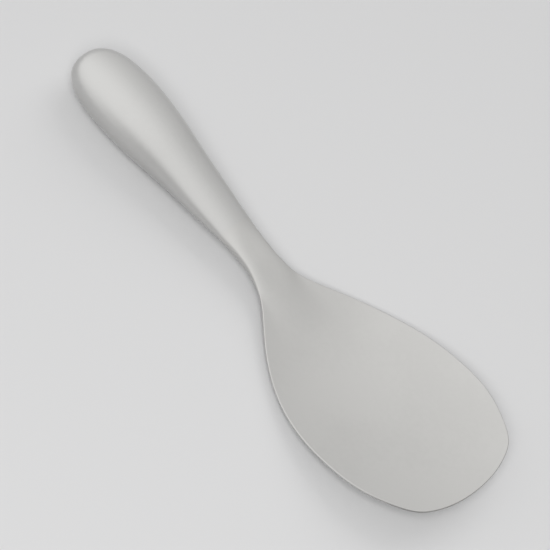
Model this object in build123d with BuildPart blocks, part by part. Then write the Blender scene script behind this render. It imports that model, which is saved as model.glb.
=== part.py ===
from build123d import *
from math import asin, atan2, degrees
import os

os.makedirs("parts", exist_ok=True)

# Rice paddle in stainless steel, lying at rest on a table at Z = 0. The butt of the handle points to
# -X, the tip of the blade to +X, and Z is up. All sizes are millimetres.

# Overall sizes
overall_length = 240
handle_length = 110  # from the butt to the narrowest place of the neck
belly_from_butt = 30  # to the widest and deepest place of the handle
mouth_from_neck = 14  # to the end of the shells, where the neck weld starts

# Handle and neck
handle_width = 31.7
handle_depth = 23
neck_width = 15.5
neck_depth = 4.6
shell_wall = 1
seam_weld_width = 1.2
neck_weld_width = 1.2

# Tang of the blade, inside the mouth of the handle
tang_length = 12
tang_clearance = 0.15

# Blade
blade_width = 80.8
sheet_thickness = 1.2
dish_radius = 200  # of the curve across the blade
sole_from_neck = 52  # to the lowest place of the blade
neck_rise = 8.1  # of the underside of the sheet at the neck, above the table
tip_rise = 13.1  # of the underside of the tip above the table
bolster_width = 21.6  # of the thickened neck where it has spread into the blade
bolster_end_depth = 0.2  # thinner than the sheet, so that its end is buried in it
sheet_root_width = 10  # of the sheet where it starts inside the bolster
sheet_root_inset = 3  # from the neck into the blade
edge_round = 0.4
cut_overrun = 5

# Places along X
butt_x = -overall_length / 2
belly_x = butt_x + belly_from_butt
neck_x = butt_x + handle_length
mouth_x = neck_x - mouth_from_neck
shoulder_x = mouth_x + neck_weld_width
sheet_root_x = neck_x + sheet_root_inset
sole_x = neck_x + sole_from_neck
tip_x = overall_length / 2

# Heights above the table
belly_height = handle_depth / 2
neck_height = neck_rise + sheet_thickness / 2

# Round butt: distance from the butt to the belly, and size of the section there
butt_shares = (
    (0.02, 0.27),
    (0.06, 0.47),
    (0.13, 0.635),
    (0.25, 0.79),
    (0.42, 0.905),
    (0.67, 0.98),
    (1, 1),
)

# Belly to neck: distance, what is left of the width and of the depth, and fall of the axis
taper_shares = (
    (0.19, 0.88, 0.915, 0.066),
    (0.34, 0.69, 0.75, 0.166),
    (0.50, 0.49, 0.548, 0.315),
    (0.66, 0.33, 0.357, 0.497),
    (0.80, 0.165, 0.20, 0.66),
    (0.92, 0.05, 0.07, 0.84),
    (1, 0, 0, 1),
)

# Neck to sole: distance, rise of the sheet, spread of the bolster, and what is left of its depth
bolster_shares = (
    (0.10, 0.938, 0.12, 0.85),
    (0.19, 0.848, 0.41, 0.72),
    (0.29, 0.734, 0.70, 0.605),
    (0.48, 0.483, 1, 0.42),
    (0.58, 0.348, 0.97, 0.317),
    (0.67, 0.23, 0.85, 0.217),
    (0.77, 0.121, 0.58, 0.107),
    (0.865, 0.047, 0.30, 0.01),
    (1, 0, 0, 0),
)

# Sole to tip: distance, and rise of the sheet
front_shares = ((0.167, 0.046), (0.423, 0.271), (0.68, 0.58), (1, 1))

# Plan of the blade: distance from the neck to the tip, and width there
outline_shares = (
    (0.115, 0.257),
    (0.192, 0.406),
    (0.269, 0.589),
    (0.346, 0.743),
    (0.46, 0.905),
    (0.577, 0.988),
    (0.654, 1),
    (0.77, 0.963),
    (0.885, 0.812),
    (0.95, 0.645),
    (0.985, 0.385),
)


def between(start, end, share):
    """The value that lies a share of the way from start to end."""
    return start + (end - start) * share


def handle_rows(inset):
    """Sections of the handle, drawn inside its outer form by inset, as rows of place, half width,
    half depth and height."""
    belly_half = handle_width / 2 - inset
    neck_half = neck_width / 2 - inset
    belly_deep = handle_depth / 2 - inset
    neck_deep = neck_depth / 2 - inset
    rows = []
    for along, size in butt_shares:
        x = between(butt_x + inset, belly_x, along)
        rows.append((x, belly_half * size, belly_deep * size, belly_height))
    for along, wide, deep, fall in taper_shares:
        half_width = between(neck_half, belly_half, wide)
        half_depth = between(neck_deep, belly_deep, deep)
        height = between(belly_height, neck_height, fall)
        rows.append((between(belly_x, neck_x, along), half_width, half_depth, height))
    return rows


def bolster_rows():
    """Sections of the thickened neck, which runs out into the blade."""
    rows = []
    for along, rise, spread, deep in bolster_shares:
        half_width = between(neck_width / 2, bolster_width / 2, spread)
        half_depth = between(bolster_end_depth / 2, neck_depth / 2, deep)
        height = neck_rise * rise + sheet_thickness / 2
        rows.append((between(neck_x, sole_x, along), half_width, half_depth, height))
    return rows


def row_at(rows, x):
    """Half width, half depth and height at x, between the two rows beside it."""
    before = max(row for row in rows if row[0] <= x)
    after = min(row for row in rows if row[0] > x)
    share = (x - before[0]) / (after[0] - before[0])
    return [between(a, b, share) for a, b in zip(before[1:], after[1:])]


def oval(x, half_width, half_depth, height):
    """An elliptical section, drawn in two halves that meet on the middle plane of the paddle."""
    with BuildSketch(Plane.YZ.offset(x), mode=Mode.PRIVATE) as section:
        with BuildLine():
            EllipticalCenterArc((0, height), half_width, half_depth, start_angle=-90, arc_size=180)
            EllipticalCenterArc((0, height), half_width, half_depth, start_angle=90, arc_size=180)
        make_face()
    return section.sketch.face()


def loft_form(inset, rows, mode=Mode.ADD):
    """Lofts oval sections from the pole of the butt through every row."""
    loft(sections=[Vertex(butt_x + inset, 0, belly_height)] + [oval(*row) for row in rows], mode=mode)


def tang(mode=Mode.ADD):
    """The tang, which fits the hollow of the handle at its mouth with a clearance."""
    half_width, half_depth, height = row_at(handle_rows(shell_wall), mouth_x)
    section = oval(shoulder_x, half_width - tang_clearance, half_depth - tang_clearance, height)
    extrude(section, amount=-(neck_weld_width + tang_length), mode=mode)


# The outer form of the handle and the bolster
with BuildPart() as outer_form:
    loft_form(0, handle_rows(0) + bolster_rows())


def hollow_out():
    """Leaves the wall of a piece of the outer form, as far as the mouth."""
    loft_form(shell_wall, handle_rows(shell_wall), mode=Mode.SUBTRACT)
    split(bisect_by=Plane.YZ.offset(mouth_x), keep=Keep.BOTTOM)


# The seam weld lies along the plane from the pole of the butt to the middle of the neck
parting_slope = degrees(atan2(belly_height - neck_height, handle_length))
parting = Plane((butt_x, 0, belly_height), x_dir=(1, 0, 0), z_dir=(0, 0, 1)).rotated((0, parting_slope, 0))
seam_front = parting.offset(seam_weld_width / 2)
seam_back = parting.offset(-seam_weld_width / 2)

with BuildPart() as handle_front_shell:
    add(outer_form.part)
    split(bisect_by=seam_front, keep=Keep.TOP)
    hollow_out()

with BuildPart() as handle_back_shell:
    add(outer_form.part)
    split(bisect_by=seam_back, keep=Keep.BOTTOM)
    hollow_out()

with BuildPart() as handle_seam_weld:
    add(outer_form.part)
    with BuildSketch(seam_back):
        Rectangle(2 * overall_length, 2 * handle_width)
    extrude(amount=seam_weld_width, mode=Mode.INTERSECT)
    hollow_out()

with BuildPart() as neck_weld:
    add(outer_form.part)
    split(bisect_by=Plane.YZ.offset(mouth_x), keep=Keep.TOP)
    split(bisect_by=Plane.YZ.offset(shoulder_x), keep=Keep.BOTTOM)
    tang(mode=Mode.SUBTRACT)

with BuildPart() as bolster:
    add(outer_form.part)
    split(bisect_by=Plane.YZ.offset(shoulder_x), keep=Keep.TOP)
    tang()

# The sheet is the strip that its middle section shows, swung about the axis of the dish and cut to
# the plan of the blade
back_points = [(between(neck_x, sole_x, along), neck_rise * rise) for along, rise, _, _ in bolster_shares]
front_points = [(between(sole_x, tip_x, along), tip_rise * rise) for along, rise in front_shares]
underside = [(neck_x, neck_rise), *back_points, *front_points]
dish_swing = degrees(asin((blade_width / 2 + cut_overrun) / (dish_radius - tip_rise)))
strip_plane = Plane((0, 0, dish_radius), x_dir=(1, 0, 0), z_dir=(0, -1, 0)).rotated((-dish_swing, 0, 0))
outline = [(between(neck_x, tip_x, along), blade_width / 2 * wide) for along, wide in outline_shares]

with BuildPart() as blade:
    with BuildSketch(strip_plane):
        with BuildLine():
            lower = Spline(*[(x, z - dish_radius) for x, z in underside])
            upper = Spline(*[(x, z - dish_radius + sheet_thickness) for x, z in underside])
            Line(lower @ 0, upper @ 0)
            Line(lower @ 1, upper @ 1)
        make_face()
    revolve(axis=Axis((0, 0, dish_radius), (1, 0, 0)), revolution_arc=2 * dish_swing)
    with BuildSketch(Plane.XY.offset(-cut_overrun)):
        with BuildLine():
            edge = Spline(
                (sheet_root_x, sheet_root_width / 2),
                *outline,
                (tip_x, 0),
                tangents=((1, 0.5), (0, -1)),
            )
            mirror(edge, about=Plane.XZ)
            Line(edge @ 0, (sheet_root_x, -sheet_root_width / 2))
        make_face()
    extrude(amount=dish_radius, mode=Mode.INTERSECT)
    fillet(blade.edges().filter_by(lambda edge: edge.length > blade_width), radius=edge_round)
    add(bolster.part)

handle_front_shell.part.label = "handle_front_shell"
export_step(handle_front_shell.part, "parts/handle_front_shell.step")

handle_back_shell.part.label = "handle_back_shell"
export_step(handle_back_shell.part, "parts/handle_back_shell.step")

handle_seam_weld.part.label = "handle_seam_weld"
export_step(handle_seam_weld.part, "parts/handle_seam_weld.step")

neck_weld.part.label = "neck_weld"
export_step(neck_weld.part, "parts/neck_weld.step")

blade.part.label = "blade"
export_step(blade.part, "parts/blade.step")
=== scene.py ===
# %% [markdown]
# # A rice paddle in satin stainless steel
#
# The paddle has a broad, shallow blade of sheet steel and a rounded, hollow handle. It lies face up on a
# pale table. Its handle is two pressed shells, joined all round by a weld that is ground flush, and a
# second weld, a ring at the mouth of the handle, holds the blade's thick neck.
#
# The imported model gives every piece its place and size. Its shells and welds have exact, smooth surfaces,
# so they stay as they are and get their finish here. The blade is modelled again, because on the real
# paddle the thick neck melts into the sheet without any line, which a solid model can only approach.

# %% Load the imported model
import math

import bmesh
import bpy
import numpy as np
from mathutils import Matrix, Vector


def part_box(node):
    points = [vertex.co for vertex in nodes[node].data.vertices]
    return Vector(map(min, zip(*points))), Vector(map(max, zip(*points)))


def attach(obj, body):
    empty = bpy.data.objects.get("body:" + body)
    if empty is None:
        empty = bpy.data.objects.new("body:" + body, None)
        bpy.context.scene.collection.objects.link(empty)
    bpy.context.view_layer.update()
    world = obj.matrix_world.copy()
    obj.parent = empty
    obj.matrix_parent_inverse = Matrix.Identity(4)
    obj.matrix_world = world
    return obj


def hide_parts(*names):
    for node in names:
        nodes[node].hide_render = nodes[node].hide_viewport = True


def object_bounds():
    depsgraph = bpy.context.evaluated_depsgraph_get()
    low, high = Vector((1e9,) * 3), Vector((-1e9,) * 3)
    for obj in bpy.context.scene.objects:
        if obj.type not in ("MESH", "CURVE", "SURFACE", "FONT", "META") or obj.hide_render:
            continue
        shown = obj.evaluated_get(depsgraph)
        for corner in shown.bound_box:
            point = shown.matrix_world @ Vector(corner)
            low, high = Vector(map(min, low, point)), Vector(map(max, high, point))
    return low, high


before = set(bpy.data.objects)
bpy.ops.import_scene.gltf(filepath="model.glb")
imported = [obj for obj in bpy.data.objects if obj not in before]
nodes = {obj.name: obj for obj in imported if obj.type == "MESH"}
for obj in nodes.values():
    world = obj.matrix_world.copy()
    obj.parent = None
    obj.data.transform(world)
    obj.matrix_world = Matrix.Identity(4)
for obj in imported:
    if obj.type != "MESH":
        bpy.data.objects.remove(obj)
cad_box = [list(corner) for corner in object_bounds()]
MM = 0.001  # one millimetre, in Blender's metres
print("nodes:", sorted(nodes))
print("size in mm:", [round((high - low) / MM, 1) for low, high in zip(*cad_box)])

# %% [markdown]
# ## The camera
#
# A photograph of a small object is usually taken from a step away with a long lens, which keeps the near
# end from looking too large. The lens here sees 16 degrees, and the picture is square. The place and turn
# were found by laying the paddle's outline over the photograph's. A camera that has a place and three
# angles needs no target object and no constraint.

# %% Set up the camera
VIEW_ANGLE = math.radians(16)
CAMERA_PLACE = Vector((180.0, -440.4, 630.2)) * MM
CAMERA_TURN = [math.radians(angle) for angle in (33.36, -17.984, 47.059)]
CLIP = (0.01, 20)  # nearest and farthest distance that shows

camera = bpy.data.objects.new("camera", bpy.data.cameras.new("camera"))
bpy.context.scene.collection.objects.link(camera)
camera.location = CAMERA_PLACE
camera.rotation_euler = CAMERA_TURN
camera.data.lens = camera.data.sensor_width / 2 / math.tan(VIEW_ANGLE / 2)
camera.data.clip_start, camera.data.clip_end = CLIP
bpy.context.scene.camera = camera
print("lens:", round(camera.data.lens, 1), "mm, distance:", round(CAMERA_PLACE.length, 3), "m")

# %% [markdown]
# ## Curves through a few points
#
# A pressed blade is all slow curves. Each is written here as a short table of points, and a natural cubic
# spline runs through them. It is the line that a draughtsman's thin wooden strip takes when it is bent
# round pins. `ease` is the usual soft step from 0 to 1, for what fades from one place to another.

# %% Two helpers for curves
def spline(places, values):
    """A function that gives a smooth curve through the values at the places."""
    place, value = np.array(places, float), np.array(values, float)
    last = len(place) - 1
    gap, rise = np.diff(place), np.diff(value)
    system, pull = np.eye(last + 1), np.zeros(last + 1)
    for i in range(1, last):
        system[i, i - 1 : i + 2] = gap[i - 1], 2 * (gap[i - 1] + gap[i]), gap[i]
        pull[i] = 6 * (rise[i] / gap[i] - rise[i - 1] / gap[i - 1])
    bend = np.linalg.solve(system, pull)

    def at(x):
        i = np.clip(np.searchsorted(place, x) - 1, 0, last - 1)
        a, b = (place[i + 1] - x) / gap[i], (x - place[i]) / gap[i]
        curved = (a**3 - a) * bend[i] + (b**3 - b) * bend[i + 1]
        return a * value[i] + b * value[i + 1] + curved * gap[i] ** 2 / 6

    return at


def ease(low, high, x):
    """0 below low, 1 above high, and a soft step between them."""
    t = np.clip((x - low) / (high - low), 0, 1)
    return t * t * (3 - 2 * t)


print("a curve through 0, 1 and 0, at a quarter of its length:", spline((0, 1, 2), (0, 1, 0))(0.5))

# %% [markdown]
# ## What the frame says about the blade
#
# The blade starts at the ring weld, so its first section has to be the weld's own. The weld's points at
# its far end give that section's width, depth and height. The blade's box gives the width of the blade
# and the place of its tip.

# %% Measure the weld and the blade
weld_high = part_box("neck_weld")[1]
blade_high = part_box("blade")[1]
NEAR = 0.01 * MM
TINY = NEAR * NEAR  # keeps a division from being one by zero
weld_end = [v.co for v in nodes["neck_weld"].data.vertices if weld_high.x - v.co.x < NEAR]
shoulder_x = weld_high.x
shoulder_half_width = max(point.y for point in weld_end)
shoulder_low, shoulder_high = (pick(point.z for point in weld_end) for pick in (min, max))
shoulder_half_depth = (shoulder_high - shoulder_low) / 2
shoulder_height = (shoulder_high + shoulder_low) / 2
tip_x = blade_high.x
half_width = blade_high.y
print("shoulder section, mm:", round(2 * shoulder_half_width / MM, 2), round(2 * shoulder_half_depth / MM, 2))

# %% [markdown]
# ## The blade's outline, seen from above
#
# The outline is a list of places along the paddle with half the width there. Near the tip it turns
# square across, where a width for each place would be too steep to follow. So the curve is drawn with the
# distance along itself as its measure, and the last points are repeated on the other side of the tip,
# which makes it cross the middle line squarely.

# %% Draw the outline
NECK_X = -10 * MM  # the narrowest place
SOLE_X = 42 * MM  # the lowest place, where the neck has run out into the sheet
SHEET = 1.2 * MM
DISH_RADIUS = 200 * MM
outline = [
    (shoulder_x / MM, shoulder_half_width / MM),
    (-16.4, 7.98),
    (-10, 7.68),
    (-4.8, 7.88),
    (0, 8.75),
    (5, 10.25),
    (15, 16.4),
    (25, 23.8),
    (35, 30.0),
    (49.8, 36.55),
    (65, 39.9),
    (75, half_width / MM),
    (90.1, 38.9),
    (105, 32.8),
    (113.5, 26.05),
    (116, 21.5),
    (118, 15.8),
    (119.4, 9.1),
    (tip_x / MM, 0),
]
mirrored = [(x, -y) for x, y in reversed(outline[-4:-1])]
outline_points = np.array(outline + mirrored) * MM
steps = np.hypot(*np.diff(outline_points, axis=0).T)
distance = np.concatenate([[0], np.cumsum(steps)])
tip_distance = distance[len(outline) - 1]
outline_x = spline(distance, outline_points[:, 0])
outline_y = spline(distance, outline_points[:, 1])
print("outline from the neck to the tip:", round(tip_distance / MM, 1), "mm")

# %% [markdown]
# ## The blade's middle line and thickness, seen from the side
#
# From the neck the sheet falls to the sole, the low place on which the blade lies, and rises again to the
# tip. The thick neck is an oval where it meets the weld, and it gets wider and lower until it is lost in
# the sheet.

# %% Draw the side
middle = spline(
    *np.transpose([
        (shoulder_x / MM, shoulder_height / MM),
        (-16.4, 9.15),
        (-10, 8.7),
        (-4.8, 8.12),
        (0, 7.25),
        (5, 6.25),
        (15, 4.2),
        (25, 2.3),
        (35, 0.98),
        (42, 0.6),
        (55, 1.2),
        (75, 4.15),
        (95, 8.2),
        (tip_x / MM, (blade_high.z - SHEET / 2) / MM),
    ]) * MM
)
neck_half_depth = spline(
    *np.transpose([
        (shoulder_x / MM, shoulder_half_depth / MM),
        (-16.4, 2.94),
        (-10, 2.3),
        (-4.8, 1.97),
        (0, 1.68),
        (5, 1.43),
        (15, 1.02),
        (25, 0.58),
        (35, 0.12),
        (42, 0),
        (50, 0),
    ]) * MM
)
neck_half_width = spline(
    *np.transpose([
        (shoulder_x / MM, shoulder_half_width / MM),
        (-16.4, 7.98),
        (-10, 7.68),
        (-4.8, 7.88),
        (0, 8.75),
        (5, 10.15),
        (15, 13.2),
        (25, 15.6),
        (42, 17),
    ]) * MM
)
neck_size = [2 * float(half(NECK_X)) / MM for half in (neck_half_width, neck_half_depth)]
print("narrowest place of the neck, mm:", [round(length, 2) for length in neck_size])

# %% [markdown]
# ## One section of the blade
#
# A section is a ring of points. Its width comes from the outline. Its upper and lower side lie half the
# thickness above and below the middle line, which bends up towards both edges because the blade is
# dished across. Close to the outline the sheet is rounded off. How far a point is inside the outline is
# the value of `half**2 - y**2` there, divided by how steeply that value changes, so the rounding is as
# wide round the tip as along the sides. A sheet that was cut and then smoothed keeps a squarish edge, so
# the rounding is squarer than a circle. The section also tells which points are near the edge, for the
# finish. It also tells which points are on the cut round the tip, where the finish paints shade: a darker
# steel that stands for the shadow and the dark reflections at the tip's edge.
#
# The neck starts as the weld's oval. Towards the blade it gets a flatter top with thin, round sides,
# which is the power above 2, and there it runs out into the sheet with a soft hollow. Neck and sheet are
# joined as the two short sides of a right-angled triangle give the long one, so that the thicker of them
# counts and no line shows where the other takes over.

# %% Describe a section
EDGE_ROUND = 0.45 * MM
EDGE_SQUARENESS = 2.6  # 2 is a round edge, and more is a squarer one
POLISHED_WIDTH = 3 * EDGE_ROUND
# how far in from the outline the painted shade on the tip's cut reaches
TIP_SHADE_WIDTH = 0.7 * EDGE_ROUND
NUDGE = 0.05 * MM  # a short way along the outline, to find its direction
FLAT_TOP = (shoulder_x, -8 * MM)  # from here to there, the neck's round top gets flat
FLATNESS = 1.6  # what the flat top adds to an oval's power of 2
SHEET_BIRTH = (-9 * MM, 4 * MM)  # the sheet comes out of the neck
RUN_OUT = (-2 * MM, 14 * MM)  # the neck's steep sides turn into a hollow
HOLLOW = 1.2  # the power of that hollow
DISH_BIRTH = (NECK_X, -NECK_X)
# from here to there along the blade, the cut round the tip comes to get painted shade
TIP_SHADE_SPAN = (92 * MM, 112 * MM)


def section(along, across, up):
    """Points of the ring at a distance along the outline, how near each is to the edge, and how much painted
    shade each gets on the cut round the tip.
    """
    x, half = float(outline_x(along)), max(float(outline_y(along)), 0)
    run = max(float(outline_x(along + NUDGE) - outline_x(along - NUDGE)), TINY)
    lean = half * float(outline_y(along + NUDGE) - outline_y(along - NUDGE)) / run
    y = half * across
    inside = (half**2 - y**2) / (2 * np.sqrt(y**2 + lean**2) + TINY)
    rounding = (1 - (1 - np.clip(inside / EDGE_ROUND, 0, 1)) ** EDGE_SQUARENESS) ** (1 / EDGE_SQUARENESS)
    sheet = SHEET / 2 * rounding * ease(*SHEET_BIRTH, x)
    fade = ease(*RUN_OUT, x)
    power = 2 + FLATNESS * ease(*FLAT_TOP, x) * (1 - fade)
    neck_x = min(x, SOLE_X)
    reach = np.clip(1 - np.abs(y / neck_half_width(neck_x)) ** power, 0, 1)
    neck = max(float(neck_half_depth(neck_x)), 0) * reach ** ((1 - fade) / power + HOLLOW * fade)
    dish = y**2 / (2 * DISH_RADIUS) * ease(*DISH_BIRTH, x)
    z = middle(x) + dish + np.sign(up) * np.hypot(sheet, neck)
    points = np.column_stack([np.full(len(y), x), y, z])
    near_edge = (1 - ease(0, POLISHED_WIDTH, inside)) * ease(*DISH_BIRTH, x)
    # painted shade: marks the cut round the tip for darkening, which stands for the shadow and dark
    # reflections at the tip's edge
    tip_wall_shade = (1 - ease(0, TIP_SHADE_WIDTH, inside)) * ease(*TIP_SHADE_SPAN, x)
    return points, near_edge, tip_wall_shade


half_way = section(tip_distance / 2, np.array([-1.0, 0.0, 1.0]), np.array([0.0, 1.0, 0.0]))[0]
print("edge, middle and edge half way along, mm:", (half_way / MM).round(1).tolist())

# %% [markdown]
# ## Lofting the blade ring by ring
#
# `create_circle` makes the first ring. Each next ring is the last one extruded and moved to its own
# section, so that all rings have their points in the same order. Every point keeps, as layers of the
# mesh, where it was on the round circle, and the extrusion copies these values. At the tip the ring
# shrinks to a point, and `remove_doubles` makes one vertex of it. The shoulder end is capped, inset and
# pushed back into the handle: that is the tang, which the ring weld grips.

# %% Loft the blade
RINGS = 170
SEGMENTS = 144
TANG_INSET = 1.15 * MM  # the wall of the shells and the tang's clearance
TANG_LENGTH = 13.2 * MM  # through the weld and on into the handle

blade_mesh = bmesh.new()
layers = blade_mesh.verts.layers.float
circle_across, circle_up = layers.new("across"), layers.new("up")
# the second layer carries the painted shade on the cut round the tip
edge_layer, tip_shade_layer = layers.new("edge"), layers.new("tip_wall_shade")
loop = bmesh.ops.create_circle(blade_mesh, segments=SEGMENTS, radius=1)["verts"]
for vertex in loop:
    vertex[circle_across], vertex[circle_up] = vertex.co.x, vertex.co.y
loop_edges = list(blade_mesh.edges)
first_edges = loop_edges
for along in np.linspace(0, tip_distance, RINGS):
    if along > 0:
        made = bmesh.ops.extrude_edge_only(blade_mesh, edges=loop_edges)["geom"]
        loop = [item for item in made if isinstance(item, bmesh.types.BMVert)]
        inside_loop = set(loop)
        loop_edges = [
            item for item in made
            if isinstance(item, bmesh.types.BMEdge) and inside_loop.issuperset(item.verts)
        ]
    across = np.array([vertex[circle_across] for vertex in loop])
    up = np.array([vertex[circle_up] for vertex in loop])
    points, near_edge, tip_wall_shade = section(along, across, up)
    for vertex, point, near, wall in zip(loop, points, near_edge, tip_wall_shade):
        vertex.co = point
        vertex[edge_layer], vertex[tip_shade_layer] = near, wall
cap = bmesh.ops.contextual_create(blade_mesh, geom=first_edges)["faces"]
bmesh.ops.inset_region(blade_mesh, faces=cap, thickness=TANG_INSET, use_even_offset=True)
tang = bmesh.ops.extrude_face_region(blade_mesh, geom=cap)["geom"]
tang_points = [item for item in tang if isinstance(item, bmesh.types.BMVert)]
bmesh.ops.translate(blade_mesh, verts=tang_points, vec=(-TANG_LENGTH, 0, 0))
bmesh.ops.delete(blade_mesh, geom=cap, context="FACES_ONLY")
bmesh.ops.remove_doubles(blade_mesh, verts=blade_mesh.verts, dist=NEAR / 2)
bmesh.ops.recalc_face_normals(blade_mesh, faces=blade_mesh.faces)
print("open edges:", sum(not edge.is_manifold for edge in blade_mesh.edges))

# %% [markdown]
# ## From bmesh to a piece
#
# A finished piece is smooth all over, apart from edges where its faces really meet at an angle, such as
# the step at the tang. It rides on the body that it belongs to, and it stands for the CAD node of the
# same part. The layers that only served the loft are taken off first.

# %% Make the blade a piece
SHARP = math.radians(50)


def make_piece(bm, name, slot, *replaced):
    """Turns a bmesh into a smooth piece that stands for CAD nodes."""
    for face in bm.faces:
        face.smooth = True
    for edge in bm.edges:
        edge.smooth = edge.calc_face_angle(0) < SHARP
    mesh = bpy.data.meshes.new(name)
    bm.to_mesh(mesh)
    bm.free()
    piece = bpy.data.objects.new(name, mesh)
    bpy.context.scene.collection.objects.link(piece)
    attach(piece, "root")
    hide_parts(*replaced)
    return piece


for layer in (circle_across, circle_up):
    layers.remove(layer)
blade = make_piece(blade_mesh, "blade_sheet_and_neck", "blade_steel", "blade")
blade_corners = np.array([vertex.co for vertex in blade.data.vertices])
print("blade:", len(blade.data.polygons), "faces, size in mm:", (np.ptp(blade_corners, axis=0) / MM).round(2))

# %% [markdown]
# ## Shader maths as plain expressions
#
# A node graph for a metal finish is mostly arithmetic on a few noise patterns. `Value` wraps a socket, so
# that `1 - mask` or `grain * 0.5` adds the Math node by itself. Every other node comes from one method,
# `add`, which takes the node's type, its settings and the values or links of its sockets.

# %% A small class for sockets, and one for node trees
class Value:
    """A number that varies over the surface, as the output socket of a node."""

    def __init__(self, graph, socket):
        self.graph, self.socket = graph, socket

    def math(self, operation, *terms):
        settings = {"operation": operation}
        return self.graph.add("ShaderNodeMath", settings, dict(enumerate(terms)))

    def __add__(self, other):
        return self.math("ADD", self, other)

    def __sub__(self, other):
        return self.math("SUBTRACT", self, other)

    def __rsub__(self, other):
        return self.math("SUBTRACT", other, self)

    def __mul__(self, other):
        return self.math("MULTIPLY", self, other)

    __radd__, __rmul__ = __add__, __mul__


class Graph:
    """The node tree of a material or world."""

    def __init__(self, owner):
        owner.use_nodes = True
        self.tree = owner.node_tree
        self.tree.nodes.clear()

    def add(self, kind, settings=None, sockets=None, output=0):
        """Adds a node and gives one of its outputs, or the node itself where output is None."""
        node = self.tree.nodes.new(kind)
        for name, setting in (settings or {}).items():
            setattr(node, name, setting)
        for name, value in (sockets or {}).items():
            if isinstance(value, Value):
                self.tree.links.new(value.socket, node.inputs[name])
            else:
                node.inputs[name].default_value = value
        return node if output is None else Value(self, node.outputs[output])

    def spread(self, value, low, high, new_low, new_high):
        """Moves a value from one range to another, cut off at both ends."""
        sockets = dict(enumerate((value, low, high, new_low, new_high)))
        return self.add("ShaderNodeMapRange", {"interpolation_type": "SMOOTHSTEP"}, sockets)


# %% [markdown]
# ## Satin steel
#
# The whole paddle has one soft, directionless satin, as from fine blasting and a last pass with a
# pad. Steel has no colour of its own below its reflections, so the finish is made of three things: how
# rough the surface is, how that roughness drifts from place to place, and a very fine grain in its
# height. The drift comes from noise a few centimetres wide, like the faint clouds that handling leaves,
# and from a mottle about two millimetres wide. It makes the steel a little lighter and darker too.
#
# The grain is a quarter of a millimetre wide, too fine to see one by one, but it breaks up highlights
# when the camera comes close. Cloths polish the blade's edge a little. The narrow cut round the tip is
# painted darker than the faces: painted shade, which stands for the shadow under the tip and the dark
# reflections in its edge.

# %% Write the steel
GRAIN = 0.25 * MM
GRAIN_HEIGHT = 0.0012 * MM
MOTTLE = 2.2 * MM
CLOUD = 38 * MM
# painted shade: a darker steel for the cut round the tip, standing for its shadow and dark reflections
TIP_SHADE_STEEL = (0.34, 0.335, 0.325, 1)
COLOUR_A, COLOUR_B, MIXED_COLOUR = 6, 7, 2  # a Mix node's sockets for colours, which share their names
NOISE_SPAN = (0.3, 0.7)  # nearly all of a noise's values lie between these
CLOUD_ROUGHNESS = 0.05
MOTTLE_ROUGHNESS = 0.02
MOTTLE_TONE = 0.35  # of the mottle in the tone, beside the clouds
TONE_SPAN = (-0.6, 0.6)
TONE_FACTORS = (0.975, 1.02)  # the darkest and the lightest steel, as shares of the mean colour
MOTTLE_HEIGHT = 0.6  # of the mottle in the height, beside the grain


def satin_steel(name, colour, roughness, edge_polish=0.0):
    """A satin steel of a mean colour and roughness, smoother by edge_polish on a ground edge. Where
    edge_polish is given, it also paints shade on the cut round the tip.
    """
    material = bpy.data.materials.new(name)
    graph = Graph(material)
    place = graph.add("ShaderNodeTexCoord", output="Object")

    def noise(width, detail, softness=0.5):
        sockets = {"Vector": place, "Scale": 1 / width, "Detail": detail, "Roughness": softness}
        return graph.add("ShaderNodeTexNoise", {}, sockets)

    grain, mottle, cloud = noise(GRAIN, 3.0), noise(MOTTLE, 2.0), noise(CLOUD, 3.0, 0.45)
    drift = graph.spread(cloud, *NOISE_SPAN, -0.5, 0.5)
    speck = graph.spread(mottle, *NOISE_SPAN, -0.5, 0.5)
    rough = roughness + drift * CLOUD_ROUGHNESS + speck * MOTTLE_ROUGHNESS
    if edge_polish:
        edge = graph.add("ShaderNodeAttribute", {"attribute_name": "edge"}, output="Fac")
        rough = rough - edge * edge_polish
    tone = graph.spread(drift + speck * MOTTLE_TONE, *TONE_SPAN, 0, 1)
    shades = [(*(part * factor for part in colour), 1) for factor in TONE_FACTORS]
    mix = {"Factor": tone, COLOUR_A: shades[0], COLOUR_B: shades[1]}
    base = graph.add("ShaderNodeMix", {"data_type": "RGBA"}, mix, output=MIXED_COLOUR)
    if edge_polish:
        # painted shade: the cut round the tip is mixed towards the darker steel
        wall = graph.add("ShaderNodeAttribute", {"attribute_name": "tip_wall_shade"}, output="Fac")
        mix = {"Factor": wall, COLOUR_A: base, COLOUR_B: TIP_SHADE_STEEL}
        base = graph.add("ShaderNodeMix", {"data_type": "RGBA"}, mix, output=MIXED_COLOUR)
    height = grain + mottle * MOTTLE_HEIGHT
    bump = graph.add("ShaderNodeBump", {}, {"Distance": GRAIN_HEIGHT, "Height": height})
    sockets = {"Base Color": base, "Roughness": rough, "Normal": bump, "Metallic": 1.0}
    metal = graph.add("ShaderNodeBsdfPrincipled", {}, sockets)
    graph.add("ShaderNodeOutputMaterial", {}, {"Surface": metal}, output=None)
    return material


blade_steel = satin_steel("blade_steel", colour=(0.605, 0.60, 0.585), roughness=0.36, edge_polish=0.1)
handle_steel = satin_steel("handle_steel", colour=(0.60, 0.597, 0.586), roughness=0.33)
weld_steel = satin_steel("weld_steel", colour=(0.597, 0.594, 0.582), roughness=0.335)
print("materials:", [material.name for material in bpy.data.materials])

# %% [markdown]
# ## Which steel goes where
#
# The blade has its own steel. The two shells share one, and the welds get a filler's, which comes out of
# the grinding hardly darker. All three are close, so the paddle reads as one piece of metal.

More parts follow.
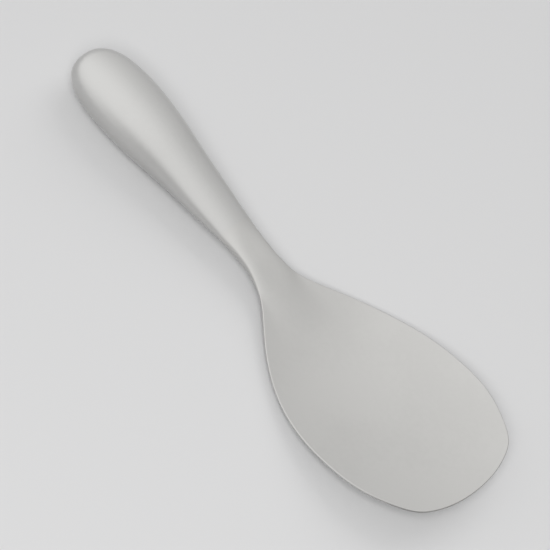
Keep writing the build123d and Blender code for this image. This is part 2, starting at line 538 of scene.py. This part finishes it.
# %% Give each piece its steel
blade.data.materials.append(blade_steel)
for name, material in (
    ("handle_front_shell", handle_steel),
    ("handle_back_shell", handle_steel),
    ("handle_seam_weld", weld_steel),
    ("neck_weld", weld_steel),
):
    nodes[name].material_slots[0].material = material
    print(name, "gets", material.name)

# %% [markdown]
# ## The table
#
# The paddle lies on a plain, pale, matt table. What the camera sees beyond it is set to look about the
# same.

# %% Lay the table
TABLE_GREY = (0.70, 0.70, 0.703)
TABLE_RADIUS = 3.0  # metres
table_mesh = bmesh.new()
bmesh.ops.create_circle(table_mesh, cap_ends=True, segments=96, radius=TABLE_RADIUS)
bmesh.ops.translate(table_mesh, verts=table_mesh.verts, vec=(0, 0, cad_box[0][2]))
mesh = bpy.data.meshes.new("table")
table_mesh.to_mesh(mesh)
table_mesh.free()
table = bpy.data.objects.new("table", mesh)
bpy.context.scene.collection.objects.link(table)

table_material = bpy.data.materials.new("pale_table")
graph = Graph(table_material)
matt = {"Base Color": (*TABLE_GREY, 1), "Roughness": 0.9, "Specular IOR Level": 0.1}
surface = graph.add("ShaderNodeBsdfPrincipled", {}, matt)
graph.add("ShaderNodeOutputMaterial", {}, {"Surface": surface}, output=None)
table.data.materials.append(table_material)
print("table:", TABLE_RADIUS, "m in radius, at height", round(table.data.vertices[0].co.z / MM, 2), "mm")

# %% [markdown]
# ## The light
#
# Metal shows its surroundings, so its look comes from a pale room: a world that is bright overhead and
# dimmer near the horizon, most of all on the right, which darkens the rims that face it. The world
# lights the table less than it shows in the steel, so that lamps can give the shadows. The camera sees
# one even grey, about the table's.
#
# The lamp behind gives the soft shadow on the near side. The front lamp stands in nearly the same
# direction as the camera, so the paddle hides most of its shadow. Neither shows in the steel, where a
# lamp would be a bright square.

# %% Light the room
LEFT_HORIZON, RIGHT_HORIZON, OVERHEAD = 0.92, 0.6, 1.08  # brightness of the room
HORIZON_SPAN = (-0.55, 0.05)  # from left to right, the part of a direction that points to the right
DOME_SPAN = (0.05, 0.65)  # from horizon to overhead, the part of a direction that points up
LEAN_BACK, LEAN_LEFT = 0.35, 0.4  # of the dome
BACK_SPAN, BACK_DIMMING = (-0.1, 1.4), (-0.06, 0.46)  # over this span, the room dims from first to last
RIGHT_SPAN, RIGHT_DIMMING = (-0.2, 0.5), (0, 0.17)
ROOM_ON_TABLE = 0.405  # the share of the room's brightness that lights the table
SEEN_GREY = 0.66  # what the camera sees beyond the table

world = bpy.data.worlds.new("pale_room")
bpy.context.scene.world = world
graph = Graph(world)
direction = graph.add("ShaderNodeTexCoord", output="Generated")
split = graph.add("ShaderNodeSeparateXYZ", {}, {"Vector": direction}, output=None)
to_right, to_back, up = (Value(graph, split.outputs[axis]) for axis in "XYZ")
horizon = graph.spread(to_right, *HORIZON_SPAN, LEFT_HORIZON, RIGHT_HORIZON)
leaning_up = up + LEAN_BACK * to_back - LEAN_LEFT * to_right
dome = graph.spread(leaning_up, *DOME_SPAN, 0, 1)
dimming = graph.spread(to_back, *BACK_SPAN, *BACK_DIMMING)
dimming = dimming + graph.spread(to_right, *RIGHT_SPAN, *RIGHT_DIMMING)
strength = horizon + (OVERHEAD - horizon) * dome - dimming
path = graph.add("ShaderNodeLightPath", output=None)
seen = Value(graph, path.outputs["Is Camera Ray"])
mirrored_in = Value(graph, path.outputs["Is Glossy Ray"])
strength = strength * (ROOM_ON_TABLE + (1 - ROOM_ON_TABLE) * mirrored_in)
strength = seen * SEEN_GREY + (1 - seen) * strength
light = graph.add("ShaderNodeBackground", {}, {"Color": (1, 1, 1, 1), "Strength": strength})
graph.add("ShaderNodeOutputWorld", {}, {"Surface": light}, output=None)


def lamp(name, place, size, power):
    """A square soft lamp that faces the paddle."""
    data = bpy.data.lights.new(name, "AREA")
    data.shape, data.size, data.energy = "SQUARE", size, power
    holder = bpy.data.objects.new(name, data)
    bpy.context.scene.collection.objects.link(holder)
    holder.location = place
    holder.rotation_euler = Vector(place).to_track_quat("Z", "Y").to_euler()
    holder.visible_camera = False
    holder.visible_glossy = False


lamp("back_lamp", place=(-0.3, 1.3, 1.1), size=1.4, power=7.5)
lamp("front_lamp", place=(0.42, -1.04, 1.47), size=1.0, power=22)

# %% [markdown]
# ## Finish
#
# The view transform is Standard, so that colours render about as they are written. The box of the imported
# paddle is printed at the end.

# %% Print the box and finish
bpy.context.scene.view_settings.view_transform = "Standard"
print("CAD box:", cad_box)
